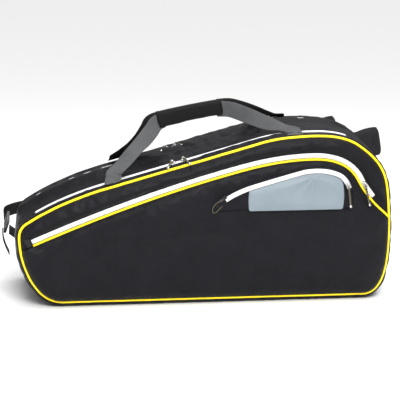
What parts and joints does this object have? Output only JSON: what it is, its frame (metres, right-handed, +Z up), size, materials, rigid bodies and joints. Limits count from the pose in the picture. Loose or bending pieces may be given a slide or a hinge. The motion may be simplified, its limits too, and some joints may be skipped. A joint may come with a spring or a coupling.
{
  "type": "racket tournament bag",
  "caption": "Black racket tournament bag with two zipped compartments, yellow piping, zipped front pockets, a wrapped carry handle and padded shoulder straps.",
  "frame": {"origin": "centre of the bounding box's bottom face, on the surface the bag stands on", "axes": "+X along the bag towards its tall end, -Y out of the front face with the pockets, +Z up"},
  "size_m": [0.822, 0.322, 0.3984],
  "materials": {
    "shell_fabric": "satin",
    "lining_fabric": "matte",
    "back_padding": "matte",
    "yellow_piping": "satin",
    "black_binding": "matte",
    "silver_zip": "satin",
    "accent_satin": "satin",
    "grey_webbing": "matte",
    "black_webbing": "matte",
    "grip_fabric": "matte",
    "nickel": "polished",
    "pull_cord": "satin",
    "black_plastic": "satin"
  },
  "bodies": {
    "bag": {"front_gusset": "shell_fabric", "front_main_zip": "silver_zip", "rear_gusset": "shell_fabric", "rear_main_zip": "silver_zip", "front_panel": "shell_fabric", "divider_panel": "lining_fabric", "back_panel": "back_padding", "front_piping": "yellow_piping", "middle_piping": "yellow_piping", "rear_binding": "black_binding", "front_pocket": "shell_fabric", "front_pocket_zip": "silver_zip", "front_pocket_piping": "yellow_piping", "front_pocket_zip_end": "black_binding", "small_pocket": "shell_fabric", "small_pocket_zip": "silver_zip", "accent_panel": "accent_satin", "near_left_handle_tab": "grey_webbing", "far_left_handle_tab": "black_webbing", "near_right_handle_tab": "grey_webbing", "far_right_handle_tab": "black_webbing", "upper_strap_base": "back_padding", "lower_strap_base": "back_padding", "upper_strap_tab": "black_webbing", "lower_strap_tab": "black_webbing"},
    "front_main_left_zip_slider": {"front_main_left_slider": "nickel"},
    "front_main_left_zip_pull": {"front_main_left_pull": "pull_cord"},
    "front_main_right_zip_slider": {"front_main_right_slider": "nickel"},
    "front_main_right_zip_pull": {"front_main_right_pull": "pull_cord"},
    "rear_main_left_zip_slider": {"rear_main_left_slider": "nickel"},
    "rear_main_left_zip_pull": {"rear_main_left_pull": "pull_cord"},
    "rear_main_right_zip_slider": {"rear_main_right_slider": "nickel"},
    "rear_main_right_zip_pull": {"rear_main_right_pull": "pull_cord"},
    "front_pocket_zip_slider": {"front_pocket_slider": "nickel"},
    "front_pocket_zip_pull": {"front_pocket_pull": "pull_cord"},
    "small_pocket_zip_slider": {"small_pocket_slider": "nickel"},
    "small_pocket_zip_pull": {"small_pocket_pull": "pull_cord"},
    "carry_handle": {"handle_grip_core": "black_webbing", "handle_grip_wrap": "grip_fabric", "near_left_handle_webbing": "grey_webbing", "near_right_handle_webbing": "grey_webbing", "far_left_handle_webbing": "black_webbing", "far_right_handle_webbing": "black_webbing"},
    "grip_closure": {"handle_grip_flap": "grip_fabric"},
    "upper_shoulder_strap": {"upper_strap_pad": "back_padding", "upper_strap_webbing": "black_webbing"},
    "lower_shoulder_strap": {"lower_strap_pad": "back_padding", "lower_strap_webbing": "black_webbing"},
    "upper_buckle": {"upper_ladder_lock": "black_plastic", "upper_strap_tail": "black_webbing"},
    "lower_buckle": {"lower_ladder_lock": "black_plastic", "lower_strap_tail": "black_webbing"}
  },
  "joints": [
    {"name": "front_main_left_zip_slide", "type": "slide", "parent": "bag", "child": "front_main_left_zip_slider", "axis": [-0.9634, 0, -0.2681], "range_m": [0, 0.08]},
    {"name": "front_main_right_zip_slide", "type": "slide", "parent": "bag", "child": "front_main_right_zip_slider", "axis": [0.9634, 0, 0.2681], "range_m": [0, 0.15]},
    {"name": "rear_main_left_zip_slide", "type": "slide", "parent": "bag", "child": "rear_main_left_zip_slider", "axis": [-0.9634, 0, -0.2681], "range_m": [0, 0.12]},
    {"name": "rear_main_right_zip_slide", "type": "slide", "parent": "bag", "child": "rear_main_right_zip_slider", "axis": [0.9634, 0, 0.2681], "range_m": [0, 0.15]},
    {"name": "front_pocket_zip_run", "type": "hinge", "parent": "bag", "child": "front_pocket_zip_slider", "pos_m": [0.219, -0.1297, 0.19], "axis": [0, -1, 0], "range_deg": [0, 65]},
    {"name": "small_pocket_zip_run", "type": "hinge", "parent": "bag", "child": "small_pocket_zip_slider", "pos_m": [0.232, -0.1492, 0.222], "axis": [0, -1, 0], "range_deg": [0, 50]},
    {"name": "front_main_left_pull_lift", "type": "hinge", "parent": "front_main_left_zip_slider", "child": "front_main_left_zip_pull", "pos_m": [-0.06783, -0.0924, 0.29149], "axis": [-1, 0, 0], "range_deg": [0, 150]},
    {"name": "front_main_right_pull_lift", "type": "hinge", "parent": "front_main_right_zip_slider", "child": "front_main_right_zip_pull", "pos_m": [-0.04583, -0.0924, 0.29761], "axis": [-1, 0, 0], "range_deg": [0, 150]},
    {"name": "rear_main_left_pull_lift", "type": "hinge", "parent": "rear_main_left_zip_slider", "child": "rear_main_left_zip_pull", "pos_m": [-0.06783, 0.0826, 0.29149], "axis": [-1, 0, 0], "range_deg": [0, 150]},
    {"name": "rear_main_right_pull_lift", "type": "hinge", "parent": "rear_main_right_zip_slider", "child": "rear_main_right_zip_pull", "pos_m": [-0.04583, 0.0826, 0.29761], "axis": [-1, 0, 0], "range_deg": [0, 150]},
    {"name": "front_pocket_pull_lift", "type": "hinge", "parent": "front_pocket_zip_slider", "child": "front_pocket_zip_pull", "pos_m": [0.31641, -0.1381, 0.24196], "axis": [-1, 0, 0], "range_deg": [0, 110]},
    {"name": "small_pocket_pull_lift", "type": "hinge", "parent": "small_pocket_zip_slider", "child": "small_pocket_zip_pull", "pos_m": [0.27859, -0.1576, 0.24394], "axis": [-1, 0, 0], "range_deg": [0, 110]},
    {"name": "carry_handle_swing", "type": "hinge", "parent": "bag", "child": "carry_handle", "pos_m": [0, 0.0026, 0.2997], "axis": [0.9739, 0, 0.2271], "range_deg": [-40, 40], "deforming": ["near_left_handle_webbing", "near_right_handle_webbing", "far_left_handle_webbing", "far_right_handle_webbing"]},
    {"name": "grip_closure_peel", "type": "hinge", "parent": "carry_handle", "child": "grip_closure", "pos_m": [-0.02575, -0.011, 0.38525], "axis": [-0.983, 0, -0.1834], "range_deg": [0, 110]},
    {"name": "upper_strap_lift", "type": "hinge", "parent": "bag", "child": "upper_shoulder_strap", "pos_m": [0.3, 0.1456, 0.305], "axis": [0.2324, 0, -0.9726], "range_deg": [0, 18], "deforming": ["upper_strap_webbing"]},
    {"name": "lower_strap_lift", "type": "hinge", "parent": "bag", "child": "lower_shoulder_strap", "pos_m": [0.395, 0.1456, 0.279], "axis": [0.0995, 0, -0.995], "range_deg": [0, 18], "deforming": ["lower_strap_webbing"]},
    {"name": "upper_buckle_tilt", "type": "hinge", "parent": "bag", "child": "upper_buckle", "pos_m": [-0.4014, 0.0497, 0.1294], "axis": [0.2567, -0.497, 0.8289], "range_deg": [0, 30], "deforming": ["upper_strap_tail"]},
    {"name": "lower_buckle_tilt", "type": "hinge", "parent": "bag", "child": "lower_buckle", "pos_m": [-0.3353, 0.1376, 0.0575], "axis": [-0.3227, 0, 0.9465], "range_deg": [0, 30], "deforming": ["lower_strap_tail"]}
  ]
}
